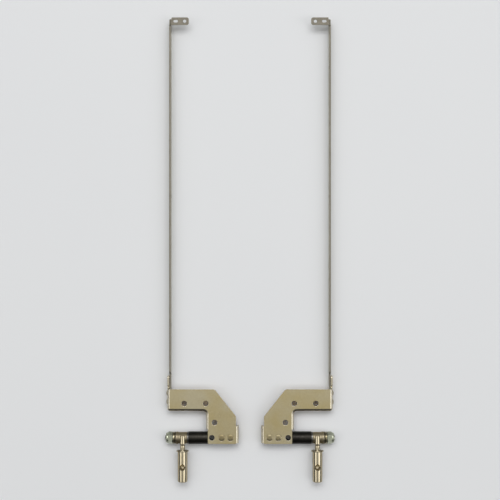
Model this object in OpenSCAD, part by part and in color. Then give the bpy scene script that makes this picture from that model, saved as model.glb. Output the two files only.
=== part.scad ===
// Laptop hinge pair: two mirrored lid brackets with panel rails, friction hinges and swivel posts.
// Millimetres. The pair lies on z = 0 with its screen side down and both lids open flat.
// One hinge is drawn on the +X side, with y = 0 on its shaft, and is placed or mirrored as a whole.

/* [Pair] */
// Space between the two lid plates, measured at their straight inner edges
pair_gap = 15.4; // [6:0.2:60]

/* [Lid plate] */
// Thickness of the plate's sheet
plate_t = 1.0; // [0.8:0.05:1.2]
// Inner radius of every bend in the plate
bend_r = 0.4; // [0.2:0.05:0.6]
// Width from the straight inner edge to the outer face of the rail flange
plate_w = 37.8; // [34:0.1:46]
// Reach of the plate above its lowest row of holes
plate_above = 26.7; // [24:0.1:34]
// Reach of the plate below its lowest row of holes
plate_below = 3.4; // [3:0.1:4.5]
// Height of the arm that carries the rail
arm_h = 12.0; // [9:0.1:12.5]
// Width of the leg that is riveted to the shaft
leg_w = 15.5; // [14.5:0.1:17]
// Width of the slanted corner
slant_w = 11.8; // [6:0.1:13]
// Height of the slanted corner
slant_h = 14.9; // [8:0.1:16]
// Radius of the rounded corner at the top of the slant
slant_r = 2.2; // [0.5:0.1:3]
// Radius of the inside corner of the notch
notch_r = 1.8; // [1:0.1:2.5]
// Depth of the stiffening rim along the notch, from the plate's top face
rim_drop = 2.2; // [1.9:0.05:2.3]
// Step from the leg's cut edge out to the rim's outer face
rim_step = 0.9; // [0.3:0.1:1.2]
// Height of the rim's lower end above the lowest row of holes
rim_start = 4.6; // [4:0.1:7]
// Height of the rail flange, from the plate's top face
flange_drop = 6.2; // [5.6:0.1:6.5]
// Length of the flange's tail past the top edge of the plate
tail_len = 7.2; // [5:0.1:12]
// Width of the relief notch between the plate and the tail
relief_w = 1.8; // [1.2:0.1:2.4]
// Depth of the relief notch, from the plate's top face
relief_depth = 3.0; // [2.6:0.1:3.6]
// Length of the small end flange on the inner edge
end_flange_len = 9.4; // [5:0.1:10]
// Height of the end flange, from the plate's top face
end_flange_drop = 5.6; // [3:0.1:6.4]

/* [Lid screw holes] */
// Diameter of the lid screw holes
screw_hole_d = 2.8; // [2.2:0.1:3.4]
// Distance between the two holes of the arm
arm_hole_pitch = 11.8; // [9:0.1:12.5]
// Distance from the outer face to the outer hole of the arm
arm_hole_inset = 9.3; // [7:0.1:10.5]
// Distance from the top edge to the holes of the arm
arm_hole_drop = 7.8; // [5:0.1:8]
// Distance from the leg's outer edge to its upper hole
leg_hole_inset = 3.7; // [3.5:0.1:6]
// Height of the leg's upper hole above the lowest row
leg_hole_rise = 8.4; // [7:0.1:12]
// Distance from the leg's outer edge to the hole over the shaft
shaft_hole_inset = 2.2; // [2:0.1:2.4]
// Height of the lowest row, the screw and rivets through the shaft, above the shaft axis
row_rise = 0.35; // [0:0.05:0.5]
// Chamfer around each hole of the plate
hole_chamfer = 0.15; // [0.05:0.05:0.25]

/* [Panel rail] */
// Thickness of the rail's strip
rail_t = 0.9; // [0.7:0.05:1.1]
// Height of the rail's free upper end above the lowest row of holes
rail_reach = 230.3; // [150:0.5:300]
// Height of the narrow foot inside the rail flange
foot_h = 4.8; // [4.4:0.1:5]
// Width of the sloped shoulder where the foot widens to the web
shoulder_w = 1.4; // [0.8:0.1:2.4]
// Reach of the top tab from the rail's outer face
tab_reach = 10.8; // [9.5:0.1:16]
// Height of the top tab
tab_h = 4.1; // [3.8:0.1:6]
// Step by which the tab stands above the end of the rail
tab_step = 1.05; // [0.4:0.05:1.5]
// Diameter of the tab's round hole
tab_hole_d = 1.8; // [1.6:0.1:2.2]
// Distance from the tab's free end to its round hole
tab_hole_inset = 2.3; // [2:0.1:2.6]
// Distance from the round hole to the middle of the slot
tab_slot_pitch = 4.9; // [4.4:0.1:5.2]
// Width of the tab's slot
tab_slot_w = 1.5; // [1.3:0.1:1.9]
// Overall length of the tab's slot
tab_slot_len = 2.5; // [2.1:0.1:3.2]
// Diameter of the side holes for the panel's screws
side_hole_d = 2.2; // [1.8:0.1:2.6]
// Number of side holes
side_hole_count = 3; // [2:1:5]
// Height of the first side hole above the lowest row of the plate
side_hole_first = 62; // [45:1:80]
// Distance from the highest side hole to the rail's upper end
side_hole_last = 26; // [10:1:50]

/* [Rivets] */
// Diameter of the shanks of the rail rivets
rail_rivet_d = 1.8; // [1.4:0.1:2.2]
// Diameter of the heads of the rail rivets
rail_rivet_head_d = 3.2; // [2.8:0.1:3.6]
// Height of the heads of the rail rivets
rail_rivet_head_h = 0.8; // [0.5:0.05:1]
// Height of the lower rail rivet above the lowest row of holes
rail_rivet_first = 19.4; // [18.8:0.1:20]
// Distance between the rail rivets
rail_rivet_pitch = 4.9; // [4:0.1:5.2]
// Diameter of the shanks of the shaft rivets
shaft_rivet_d = 2.4; // [1.8:0.1:2.6]
// Diameter of the flush heads of the shaft rivets
shaft_rivet_head_d = 3.6; // [3:0.1:4]
// Depth of the countersinks for the flush heads
shaft_rivet_sink = 0.7; // [0.5:0.05:0.75]
// Distance from the plate's inner edge to the far shaft rivet
shaft_rivet_inset = 3.1; // [3:0.1:3.4]
// Shift of the near shaft rivet inwards from midway between the far one and the screw hole
shaft_rivet_shift = 0.3; // [0:0.1:0.6]
// Height of the formed heads under the shaft
shaft_rivet_tail_h = 0.7; // [0.4:0.05:0.9]

/* [Shaft] */
// Diameter of the round barrel
barrel_d = 7.0; // [6.8:0.05:7.6]
// Length of the barrel beside the plate
barrel_len = 10.7; // [8:0.1:16]
// Thickness of the flattened tongue under the plate
tongue_t = 4.2; // [3.4:0.1:4.6]
// Space between the end of the tongue and the plate's inner edge
tongue_inset = 1.4; // [0.8:0.1:1.6]
// Diameter of the journal that the post turns on
journal_d = 4.0; // [3.8:0.1:4.4]
// Diameter of the threaded end
thread_d = 3.5; // [3:0.1:3.6]
// Distance across the two flats of the threaded end
flats_w = 2.7; // [2.4:0.1:2.8]
// Length of thread that shows past the nut
thread_out = 0.5; // [0.3:0.1:2]

/* [Friction stack] */
// Outer diameter of the washers and springs
washer_d = 6.6; // [6:0.1:6.8]
// Thickness of the thick inner washer
inner_washer_t = 0.8; // [0.5:0.05:1.2]
// Thickness of the outer washer
outer_washer_t = 0.4; // [0.3:0.05:0.8]
// Thickness of the keyed washer under the nut
keyed_washer_t = 0.4; // [0.3:0.05:0.8]
// Thickness of one disc spring
spring_t = 0.25; // [0.2:0.05:0.4]
// Rise of one disc spring's cone
spring_rise = 0.15; // [0.1:0.05:0.3]
// Width of the nut across its flats
nut_af = 6.0; // [5.5:0.1:6]
// Height of the nut's hexagon
nut_hex_h = 2.5; // [1.6:0.1:3]
// Height of the nut's round crown
nut_crown_h = 1.1; // [1:0.1:2]
// Height of the locking ring inside the crown
insert_h = 0.8; // [0.5:0.1:0.9]

/* [Base post] */
// Diameter of the head that wraps the shaft
head_d = 6.3; // [6:0.1:6.6]
// Diameter of the rim on the head's outer end
head_rim_d = 6.7; // [6.3:0.1:6.9]
// Width of the rim on the head's outer end
head_rim_w = 1.4; // [0.8:0.1:1.8]
// Length of the head
head_len = 6.34; // [5.5:0.02:9]
// Distance from the head's inner face to the post's axis
post_inset = 2.4; // [2:0.1:3]
// Offset of the post's axis in front of the shaft axis
post_offset = 2.0; // [1.8:0.05:2.1]
// Diameter of the column on the front of the head
column_d = 3.2; // [2.8:0.1:3.4]
// Height of the column's top above the shaft axis
column_rise = 0.8; // [0.5:0.1:1.8]
// Diameter of the neck
neck_d = 2.7; // [2.2:0.1:2.7]
// Distance from the shaft axis down to the collar
collar_drop = 6.7; // [5.8:0.1:9]
// Diameter of the collar
collar_d = 6.8; // [6:0.1:7]
// Thickness of the collar
collar_t = 0.6; // [0.6:0.1:1.5]
// Diameter of the post's body
post_d = 5.4; // [4.8:0.1:5.4]
// Radial step by which the body gets slimmer past the cross hole
lead_in = 0.05; // [0.02:0.01:0.15]
// Reach of the post below the shaft axis
post_reach = 24.1; // [22:0.1:26]
// Diameter of the cross hole
cross_hole_d = 2.1; // [1.6:0.1:2.6]
// Depth of the cross hole from the body's upper side
cross_hole_depth = 4.2; // [3:0.1:4.4]
// Distance from the post's end to the cross hole
cross_hole_inset = 8.3; // [6:0.1:9]
// Chamfer on the post's end
post_chamfer = 0.45; // [0.2:0.05:1]
// Chamfer around the cross hole
cross_chamfer = 0.9; // [0.2:0.05:1]

/* [Clearances] */
// Radial clearance of the post's head on the journal
journal_gap = 0.05; // [0.02:0.01:0.08]
// Gap at each flat rubbing face of the head
face_gap = 0.03; // [0.02:0.01:0.06]
// Gap around rivets, keyed washers and threads, which don't turn
seat_gap = 0.02; // [0.01:0.01:0.04]

/* [Hidden] */
$fn = 64;

// How far a cutter reaches past the surface that it cuts
over = 1;

// The shaft rests on z = 0, and its tongue carries the plate
shaft_z = barrel_d / 2;
plate_under = shaft_z + tongue_t / 2;
plate_top = plate_under + plate_t;

// Where the plate's edges lie, as x from the pair's middle and y from the shaft
inner_x = pair_gap / 2;
outer_x = inner_x + plate_w;
leg_x = inner_x + leg_w;
rim_x = leg_x + rim_step;
arm_y = plate_above - arm_h;
bend_out = bend_r + plate_t;
flange_x = outer_x - plate_t;

// The rail stands against the inside of the flange, and its tab is level with the plate
rail_x = flange_x - rail_t;
rail_bend_out = bend_r + rail_t;
foot_start = arm_y + bend_out;
foot_end = plate_above + tail_len + over;
rivet_z = foot_h / 2;
tab_top_y = rail_reach + tab_step;
tab_end_x = flange_x - tab_reach;
tab_hole_y = tab_top_y - tab_h / 2;
side_hole_pitch = (rail_reach - side_hole_last - side_hole_first) / (side_hole_count - 1);

// Stations along the shaft, outwards from the plate
barrel_x = leg_x + seat_gap;
shoulder_x = barrel_x + barrel_len;
head_x = shoulder_x + inner_washer_t + face_gap;
head_end_x = head_x + head_len;
outer_washer_x = head_end_x + face_gap;
springs_x = outer_washer_x + outer_washer_t;
keyed_washer_x = springs_x + 2 * (spring_t + spring_rise);
nut_x = keyed_washer_x + keyed_washer_t;
crown_x = nut_x + nut_hex_h;
nut_end_x = crown_x + nut_crown_h;
shaft_end_x = nut_end_x + thread_out;

// Sizes that follow from what passes through or turns on them
journal_bore_d = journal_d + 2 * journal_gap;
washer_bore_d = journal_d + 2 * seat_gap;
thread_bore_d = thread_d + 2 * seat_gap;

// Small details that keep their size
edge_break = 0.25;
cut_corner = 0.8;
tab_corner = 1.1;
tight_corner = 0.4;
shoulder_gap = 0.8;
nut_bevel = 0.6;
crown_lip = 0.2;
insert_w = 0.45;
crown_d = nut_af - edge_break;
insert_d = thread_d + 2 * insert_w;
crown_end_d = insert_d + crown_lip;

// The shaft axis in y, which puts the middle of the pair's length at y = 0
shaft_y = (post_reach - tab_top_y - row_rise) / 2;

// Points of an arc from angle a to angle b around a centre
function arc(centre, r, a, b, steps = 8) =
    [for (i = [0:steps]) centre + r * [cos(a + (b - a) * i / steps), sin(a + (b - a) * i / steps)]];

// Points that round the corner at p, between its neighbours before and after
function rounded(before, p, after, r, steps = 6) =
    let (
        in_dir = (p - before) / norm(p - before),
        out_dir = (after - p) / norm(after - p),
        turn = acos(in_dir * out_dir),
        cut = r * tan(turn / 2),
        a = p - in_dir * cut,
        side = in_dir[0] * out_dir[1] - in_dir[1] * out_dir[0] > 0 ? 1 : -1,
        centre = a + side * r * [-in_dir[1], in_dir[0]],
        start = atan2(a[1] - centre[1], a[0] - centre[0])
    )
    arc(centre, r, start, start + side * turn, steps);

// A closed outline with its own radius at each corner, 0 for a sharp one
function outline(points, radii) =
    let (n = len(points))
    [for (i = [0:n - 1])
        each radii[i] > 0
            ? rounded(points[(i + n - 1) % n], points[i], points[(i + 1) % n], radii[i])
            : [points[i]]];

module place_right() { translate([0, shaft_y, 0]) children(); }
module place_left() { mirror([1, 0, 0]) place_right() children(); }

// Plate, rail and their rivets sit a little above the shaft axis
module raised() { translate([0, row_rise, 0]) children(); }

// A drawing in (y, z) becomes a wall that stands in x from x0 to x0 + t
module wall_x(x0, t) { translate([x0, 0, 0]) rotate([90, 0, 90]) linear_extrude(t) children(); }

// A drawing in (r, x) is turned around the shaft axis
module turned_on_shaft() { translate([0, 0, shaft_z]) rotate([0, 90, 0]) rotate_extrude() children(); }

// A plain disc or drill on the shaft axis
module on_shaft(x0, x1, d) {
    translate([x0, 0, shaft_z]) rotate([0, 90, 0]) cylinder(h = x1 - x0, d = d);
}

// A drill down through the plate's top face with a small chamfer at its mouth
module plate_drill(d, depth) {
    translate([0, 0, plate_top - depth]) cylinder(h = depth + over, d = d);
    translate([0, 0, plate_top - hole_chamfer])
        cylinder(h = 2 * hole_chamfer, d1 = d, d2 = d + 4 * hole_chamfer);
}

// Section of a 90 degree bend: the outer face is x = 0, the top face y = 0
module bend_section(t, drop) {
    r_out = bend_r + t;
    difference() {
        intersection() {
            translate([r_out, -r_out]) circle(r_out);
            translate([0, -r_out]) square(r_out);
        }
        translate([r_out, -r_out]) circle(bend_r);
    }
    if (drop > r_out) {
        translate([0, -drop]) square([t, drop - r_out]);
    }
}

module plate_flat() {
    corners = [
        [inner_x, -plate_below],
        [leg_x, -plate_below],
        [leg_x, rim_start],
        [rim_x - bend_out, rim_start],
        [rim_x - bend_out, arm_y + bend_out],
        [outer_x - bend_out, arm_y + bend_out],
        [outer_x - bend_out, plate_above],
        [inner_x + slant_w, plate_above],
        [inner_x, plate_above - slant_h]
    ];
    radii = [tight_corner, tight_corner, 0, 0, 0, 0, 0, slant_r, cut_corner];
    notch_centre = [rim_x + notch_r, arm_y - notch_r];
    translate([0, 0, plate_under]) linear_extrude(plate_t) {
        polygon(outline(corners, radii));
        difference() {
            translate([rim_x - bend_out, arm_y - notch_r]) square(notch_r + bend_out);
            translate(notch_centre) circle(notch_r + bend_out);
        }
    }
}

// The rim runs down the leg, round the notch's inside corner, along the arm and into the flange
module notch_rim() {
    leg_run = arm_y - notch_r - rim_start;
    arm_run = outer_x - bend_out - rim_x - notch_r;
    translate([rim_x, arm_y - notch_r, plate_top]) rotate([90, 0, 0])
        linear_extrude(leg_run) mirror([1, 0]) bend_section(plate_t, rim_drop);
    translate([rim_x + notch_r, arm_y - notch_r, plate_top]) rotate([0, 0, 90])
        rotate_extrude(angle = 90) translate([notch_r, 0]) bend_section(plate_t, rim_drop);
    translate([rim_x + notch_r, arm_y, plate_top]) rotate([90, 0, 90])
        linear_extrude(arm_run) bend_section(plate_t, rim_drop);
    translate([outer_x - bend_out, arm_y + bend_out, plate_top]) rotate([0, 0, -90])
        rotate_extrude(angle = 90) translate([bend_out, 0]) mirror([1, 0]) bend_section(plate_t, rim_drop);
}

// The flange that carries the rail, with its tail past the plate and a relief notch between them
module rail_flange() {
    low = plate_top - flange_drop;
    bend_low = plate_top - bend_out;
    tail_step = plate_t / 4;
    tail_top = plate_top - tail_step;
    relief_low = plate_top - relief_depth;
    relief_r = 0.45 * relief_w;
    relief_y = plate_above + relief_w;
    tail_y = plate_above + tail_len;
    translate([outer_x, plate_above, plate_top]) rotate([90, 0, 0])
        linear_extrude(plate_above - foot_start) mirror([1, 0]) bend_section(plate_t, bend_out);
    wall_x(flange_x, plate_t)
        polygon(outline(
            [
                [foot_start, low], [tail_y, low], [tail_y, tail_top], [relief_y, tail_top],
                [relief_y, relief_low], [plate_above, relief_low], [plate_above, bend_low],
                [foot_start, bend_low]
            ],
            [cut_corner, 2 * cut_corner, cut_corner, tight_corner, relief_r, relief_r, 0, 0]
        ));
}

// The small flange that closes the plate's inner edge over the end of the shaft
module end_flange() {
    start_y = -plate_below + tight_corner;
    end_y = start_y + end_flange_len;
    bend_low = plate_top - bend_out;
    translate([inner_x - bend_out, end_y, plate_top]) rotate([90, 0, 0])
        linear_extrude(end_flange_len) bend_section(plate_t, bend_out);
    wall_x(inner_x - bend_out, plate_t)
        polygon(outline(
            [
                [start_y, plate_top - end_flange_drop], [end_y, plate_top - end_flange_drop],
                [end_y, bend_low], [start_y, bend_low]
            ],
            [cut_corner, cut_corner, 0, 0]
        ));
}

// Every screw hole of the plate, as [x, y]
screw_holes = [
    [outer_x - arm_hole_inset, plate_above - arm_hole_drop],
    [outer_x - arm_hole_inset - arm_hole_pitch, plate_above - arm_hole_drop],
    [leg_x - leg_hole_inset, leg_hole_rise],
    [leg_x - shaft_hole_inset, 0]
];
far_rivet_x = inner_x + shaft_rivet_inset;
near_rivet_x = (far_rivet_x + leg_x - shaft_hole_inset) / 2 - shaft_rivet_shift;
shaft_rivets_x = [far_rivet_x, near_rivet_x];
rail_rivets_y = [for (i = [0, 1]) rail_rivet_first + i * rail_rivet_pitch];

module lid_plate() {
    color([0.66, 0.61, 0.48])
        raised() difference() {
            union() {
                plate_flat();
                notch_rim();
                rail_flange();
                end_flange();
            }
            for (hole = screw_holes) {
                translate(hole) plate_drill(screw_hole_d, plate_t + over);
            }
            for (x = shaft_rivets_x) {
                translate([x, 0, plate_under - over])
                    cylinder(h = plate_t + 2 * over, d = shaft_rivet_d + 2 * seat_gap);
                translate([x, 0, plate_top - shaft_rivet_sink])
                    cylinder(
                        h = 2 * shaft_rivet_sink,
                        d1 = shaft_rivet_d + 2 * seat_gap,
                        d2 = 2 * shaft_rivet_head_d - shaft_rivet_d + 2 * seat_gap
                    );
            }
            for (y = rail_rivets_y) {
                translate([flange_x - over, y, rivet_z]) rotate([0, 90, 0])
                    cylinder(h = plate_t + 2 * over, d = rail_rivet_d + 2 * seat_gap);
            }
        }
}

module panel_rail() {
    low = 0;
    tab_low_y = tab_top_y - tab_h;
    relief_y = tab_low_y - rail_t;
    bend_low = plate_top - rail_bend_out;
    color([0.54, 0.52, 0.48])
        raised() difference() {
            union() {
                wall_x(rail_x, rail_t)
                    polygon(outline(
                        [
                            [foot_start, low], [rail_reach, low], [rail_reach, bend_low],
                            [tab_low_y, bend_low], [relief_y, bend_low], [relief_y, plate_top],
                            [foot_end + shoulder_w, plate_top], [foot_end, foot_h], [foot_start, foot_h]
                        ],
                        [
                            cut_corner, cut_corner, 0, 0, tight_corner,
                            tight_corner, tight_corner, tight_corner, cut_corner
                        ]
                    ));
                translate([flange_x, rail_reach, plate_top]) rotate([90, 0, 0])
                    linear_extrude(rail_reach - tab_low_y) mirror([1, 0]) bend_section(rail_t, rail_bend_out);
                translate([0, 0, plate_top - rail_t]) linear_extrude(rail_t)
                    polygon(outline(
                        [
                            [tab_end_x, tab_low_y], [flange_x - rail_bend_out, tab_low_y],
                            [flange_x - rail_bend_out, tab_top_y], [tab_end_x, tab_top_y]
                        ],
                        [tab_corner, 0, tight_corner, tab_corner]
                    ));
            }
            translate([tab_end_x + tab_hole_inset, tab_hole_y, 0]) plate_drill(tab_hole_d, rail_t + over);
            tab_slot();
            for (i = [0:side_hole_count - 1]) {
                translate([rail_x - over, side_hole_first + i * side_hole_pitch, plate_top / 2])
                    rotate([0, 90, 0]) cylinder(h = rail_t + 2 * over, d = side_hole_d);
            }
            for (y = rail_rivets_y) {
                translate([rail_x - over, y, rivet_z]) rotate([0, 90, 0])
                    cylinder(h = rail_t + 2 * over, d = rail_rivet_d + 2 * seat_gap);
            }
        }
}

module tab_slot() {
    middle_x = tab_end_x + tab_hole_inset + tab_slot_pitch;
    travel = tab_slot_len - tab_slot_w;
    translate([middle_x, tab_hole_y, plate_top - rail_t - over]) {
        for (side = [-1, 1]) {
            translate([side * travel / 2, 0, 0]) cylinder(h = rail_t + 2 * over, d = tab_slot_w);
        }
        translate([-travel / 2, -tab_slot_w / 2, 0]) cube([travel, tab_slot_w, rail_t + 2 * over]);
    }
}

// A low domed rivet head on the plane y = 0, as a half section to turn
module dome_section(d, h) {
    r = (d * d / 4 + h * h) / (2 * h);
    intersection() {
        translate([0, h - r]) circle(r);
        square([d / 2, h]);
    }
}

module rail_rivets() {
    color([0.60, 0.58, 0.52])
        raised() for (y = rail_rivets_y) {
            translate([outer_x, y, rivet_z]) rotate([0, 90, 0])
                rotate_extrude() dome_section(rail_rivet_head_d, rail_rivet_head_h);
            translate([rail_x, y, rivet_z]) rotate([0, 90, 0])
                cylinder(h = rail_t + plate_t, d = rail_rivet_d);
            translate([rail_x, y, rivet_z]) rotate([0, -90, 0])
                rotate_extrude() dome_section(rail_rivet_head_d, rail_rivet_head_h);
        }
}

module hinge_shaft() {
    journal_end = outer_washer_x;
    barrel_r = barrel_d / 2;
    color([0.08, 0.08, 0.08])
        difference() {
            union() {
                intersection() {
                    on_shaft(inner_x + tongue_inset, barrel_x + edge_break, barrel_d);
                    translate([inner_x, -barrel_d / 2, plate_under - tongue_t])
                        cube([leg_w + 2 * over, barrel_d, tongue_t]);
                }
                turned_on_shaft()
                    polygon([
                        [0, barrel_x], [barrel_r - edge_break, barrel_x],
                        [barrel_r, barrel_x + edge_break], [barrel_r, shoulder_x - edge_break],
                        [barrel_r - edge_break, shoulder_x], [journal_d / 2, shoulder_x],
                        [journal_d / 2, journal_end], [thread_d / 2, journal_end],
                        [thread_d / 2, shaft_end_x - 2 * edge_break],
                        [thread_d / 2 - 2 * edge_break, shaft_end_x], [0, shaft_end_x]
                    ]);
            }
            for (side = [-1, 1]) {
                translate([journal_end, -journal_d, shaft_z + side * (flats_w + thread_d) / 2 - thread_d / 2])
                    cube([shaft_end_x - journal_end + over, 2 * journal_d, thread_d]);
            }
            for (x = shaft_rivets_x) {
                translate([x, row_rise, -over]) cylinder(h = plate_top + over, d = shaft_rivet_d + 2 * seat_gap);
            }
            translate([leg_x - shaft_hole_inset, row_rise, -over])
                cylinder(h = plate_top + over, d = screw_hole_d);
        }
}

module shaft_rivets() {
    tongue_low = plate_under - tongue_t;
    color([0.66, 0.61, 0.48])
        raised() for (x = shaft_rivets_x) {
            translate([x, 0, 0]) rotate_extrude()
                polygon([
                    [0, tongue_low - shaft_rivet_tail_h],
                    [shaft_rivet_head_d / 2 - edge_break, tongue_low - shaft_rivet_tail_h],
                    [shaft_rivet_head_d / 2, tongue_low - shaft_rivet_tail_h + edge_break],
                    [shaft_rivet_head_d / 2, tongue_low], [shaft_rivet_d / 2, tongue_low],
                    [shaft_rivet_d / 2, plate_top - shaft_rivet_sink],
                    [shaft_rivet_head_d / 2, plate_top], [0, plate_top]
                ]);
        }
}

// A flat ring on the shaft
module ring(x0, t, d, bore) {
    difference() {
        on_shaft(x0, x0 + t, d);
        on_shaft(x0 - over, x0 + t + over, bore);
    }
}

// The flat-sided hole that keys a washer to the threaded end
module keyed_bore(x0, t) {
    intersection() {
        on_shaft(x0 - over, x0 + t + over, thread_bore_d);
        translate([x0 - over, -thread_d, shaft_z - flats_w / 2 - seat_gap])
            cube([t + 2 * over, 2 * thread_d, flats_w + 2 * seat_gap]);
    }
}

module inner_washer() {
    color([0.62, 0.63, 0.62]) ring(shoulder_x, inner_washer_t, washer_d, washer_bore_d);
}

module outer_washer() {
    color([0.22, 0.20, 0.17])
        difference() {
            on_shaft(outer_washer_x, outer_washer_x + outer_washer_t, washer_d);
            keyed_bore(outer_washer_x, outer_washer_t);
        }
}

module keyed_washer() {
    color([0.46, 0.46, 0.40])
        difference() {
            on_shaft(keyed_washer_x, keyed_washer_x + keyed_washer_t, washer_d);
            keyed_bore(keyed_washer_x, keyed_washer_t);
        }
}

// Two disc springs, set rim to rim so that they press the washers apart
module disc_springs() {
    bore_r = washer_bore_d / 2;
    rim_r = washer_d / 2;
    rise = spring_t + spring_rise;
    color([0.55, 0.51, 0.39])
        turned_on_shaft() {
            polygon([
                [bore_r, springs_x], [rim_r, springs_x + spring_rise],
                [rim_r, springs_x + rise], [bore_r, springs_x + spring_t]
            ]);
            polygon([
                [bore_r, springs_x + 2 * rise], [rim_r, springs_x + rise + spring_t],
                [rim_r, springs_x + rise], [bore_r, springs_x + 2 * rise - spring_t]
            ]);
        }
}

module lock_nut() {
    flat_r = nut_af / 2;
    crown_r = crown_d / 2;
    crown_end_r = crown_end_d / 2;
    crown_wall = nut_crown_h / 4;
    insert_x = nut_end_x - insert_h;
    color([0.57, 0.58, 0.50])
        difference() {
            union() {
                intersection() {
                    translate([nut_x, 0, shaft_z]) rotate([0, 90, 0]) rotate([0, 0, 30])
                        cylinder(h = nut_hex_h, d = nut_af / cos(30), $fn = 6);
                    turned_on_shaft()
                        polygon([
                            [0, nut_x], [flat_r, nut_x],
                            [flat_r + nut_bevel, nut_x + nut_bevel * tan(30)],
                            [flat_r + nut_bevel, crown_x - nut_bevel * tan(30)],
                            [flat_r, crown_x], [0, crown_x]
                        ]);
                }
                turned_on_shaft()
                    polygon(concat(
                        [[0, crown_x - edge_break], [crown_r, crown_x - edge_break]],
                        [for (a = [0:15:90])
                            [
                                crown_end_r + (crown_r - crown_end_r) * cos(a),
                                crown_x + crown_wall + (nut_crown_h - crown_wall) * sin(a)
                            ]],
                        [[0, nut_end_x]]
                    ));
            }
            on_shaft(nut_x - over, nut_end_x + over, thread_bore_d);
            on_shaft(insert_x, nut_end_x - crown_lip, insert_d);
        }
}

module nut_insert() {
    insert_x = nut_end_x - insert_h;
    color([0.85, 0.86, 0.80])
        ring(insert_x + seat_gap, insert_h - crown_lip - 2 * seat_gap, insert_d - 2 * seat_gap, thread_bore_d);
}

module base_post() {
    post_x = head_x + post_inset;
    column_r = column_d / 2;
    neck_r = neck_d / 2;
    collar_r = collar_d / 2;
    post_r = post_d / 2;
    body_y = collar_drop + collar_t;
    head_r = head_d / 2;
    rim_r = head_rim_d / 2;
    tip_r = post_r - lead_in;
    neck_start = head_r + shoulder_gap;
    cross_y = post_reach - cross_hole_inset;
    tip_y = cross_y + cross_hole_d / 2 + 2 * cross_chamfer;
    color([0.74, 0.69, 0.55])
        difference() {
            union() {
                turned_on_shaft()
                    polygon([
                        [0, head_x], [head_r - edge_break, head_x], [head_r, head_x + edge_break],
                        [head_r, head_end_x - head_rim_w - edge_break], [rim_r, head_end_x - head_rim_w],
                        [rim_r, head_end_x - edge_break], [rim_r - edge_break, head_end_x],
                        [0, head_end_x]
                    ]);
                translate([post_x, 0, shaft_z + post_offset]) rotate([90, 0, 0]) rotate_extrude()
                    polygon([
                        [0, -column_rise], [column_r - edge_break, -column_rise],
                        [column_r, -column_rise + edge_break], [column_r, neck_start],
                        [neck_r, neck_start + (column_r - neck_r)], [neck_r, collar_drop],
                        [collar_r - edge_break, collar_drop], [collar_r, collar_drop + edge_break],
                        [collar_r, body_y - edge_break], [collar_r - edge_break, body_y],
                        [post_r, body_y], [post_r, tip_y], [tip_r, tip_y],
                        [tip_r, post_reach - post_chamfer], [tip_r - post_chamfer, post_reach],
                        [0, post_reach]
                    ]);
            }
            on_shaft(head_x - over, head_end_x + over, journal_bore_d);
            translate([post_x, -cross_y, shaft_z + post_offset + post_r]) {
                translate([0, 0, -cross_hole_depth]) cylinder(h = cross_hole_depth + over, d = cross_hole_d);
                translate([0, 0, -cross_chamfer])
                    cylinder(h = 2 * cross_chamfer, d1 = cross_hole_d, d2 = cross_hole_d + 4 * cross_chamfer);
            }
        }
}

place_left() lid_plate();  // left_lid_plate
place_left() panel_rail();  // left_panel_rail
place_left() rail_rivets();  // left_rail_rivets
place_left() hinge_shaft();  // left_hinge_shaft
place_left() shaft_rivets();  // left_shaft_rivets
place_left() inner_washer();  // left_inner_washer
place_left() base_post();  // left_base_post
place_left() outer_washer();  // left_outer_washer
place_left() disc_springs();  // left_disc_springs
place_left() keyed_washer();  // left_keyed_washer
place_left() lock_nut();  // left_lock_nut
place_left() nut_insert();  // left_nut_insert
place_right() lid_plate();  // right_lid_plate
place_right() panel_rail();  // right_panel_rail
place_right() rail_rivets();  // right_rail_rivets
place_right() hinge_shaft();  // right_hinge_shaft
place_right() shaft_rivets();  // right_shaft_rivets
place_right() inner_washer();  // right_inner_washer
place_right() base_post();  // right_base_post
place_right() outer_washer();  // right_outer_washer
place_right() disc_springs();  // right_disc_springs
place_right() keyed_washer();  // right_keyed_washer
place_right() lock_nut();  // right_lock_nut
place_right() nut_insert();  // right_nut_insert
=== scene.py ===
import math

import bpy
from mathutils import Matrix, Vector


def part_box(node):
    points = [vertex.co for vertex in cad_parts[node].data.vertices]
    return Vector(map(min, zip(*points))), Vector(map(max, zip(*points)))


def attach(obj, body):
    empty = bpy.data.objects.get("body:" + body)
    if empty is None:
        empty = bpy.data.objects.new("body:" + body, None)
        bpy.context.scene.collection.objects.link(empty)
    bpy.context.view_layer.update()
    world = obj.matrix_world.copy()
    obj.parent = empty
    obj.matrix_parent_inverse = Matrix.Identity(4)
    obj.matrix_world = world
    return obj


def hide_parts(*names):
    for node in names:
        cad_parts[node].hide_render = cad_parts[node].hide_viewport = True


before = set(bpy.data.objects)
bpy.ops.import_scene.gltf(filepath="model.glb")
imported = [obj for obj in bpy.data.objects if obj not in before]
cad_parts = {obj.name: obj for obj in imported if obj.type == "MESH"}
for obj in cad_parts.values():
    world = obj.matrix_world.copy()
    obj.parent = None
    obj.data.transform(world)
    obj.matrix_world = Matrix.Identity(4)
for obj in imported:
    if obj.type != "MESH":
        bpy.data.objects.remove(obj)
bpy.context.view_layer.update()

mm = 0.001

# the right hinge's own lines in mm; the left hinge is its mirror image
shaftY = -103.8  # the shaft's axis in the frame, from which every other y is counted
shaftZ = 3.5
rowRise = 0.35  # the plate and its row of holes stand this far off the shaft's axis
plateTop = 6.6
plateUnder = 5.6
outerX = 45.5  # outer face of the flange
mergeGap = 0.001  # vertices nearer than this are one
fineGap = 0.0005  # the same after a cut, where true edges can be short

for name in ("Cube", "Light", "Camera"):
    if name in bpy.data.objects:
        bpy.data.objects.remove(bpy.data.objects[name])


def activate(obj):
    bpy.ops.object.select_all(action="DESELECT")
    obj.select_set(True)
    bpy.context.view_layer.objects.active = obj


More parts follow.
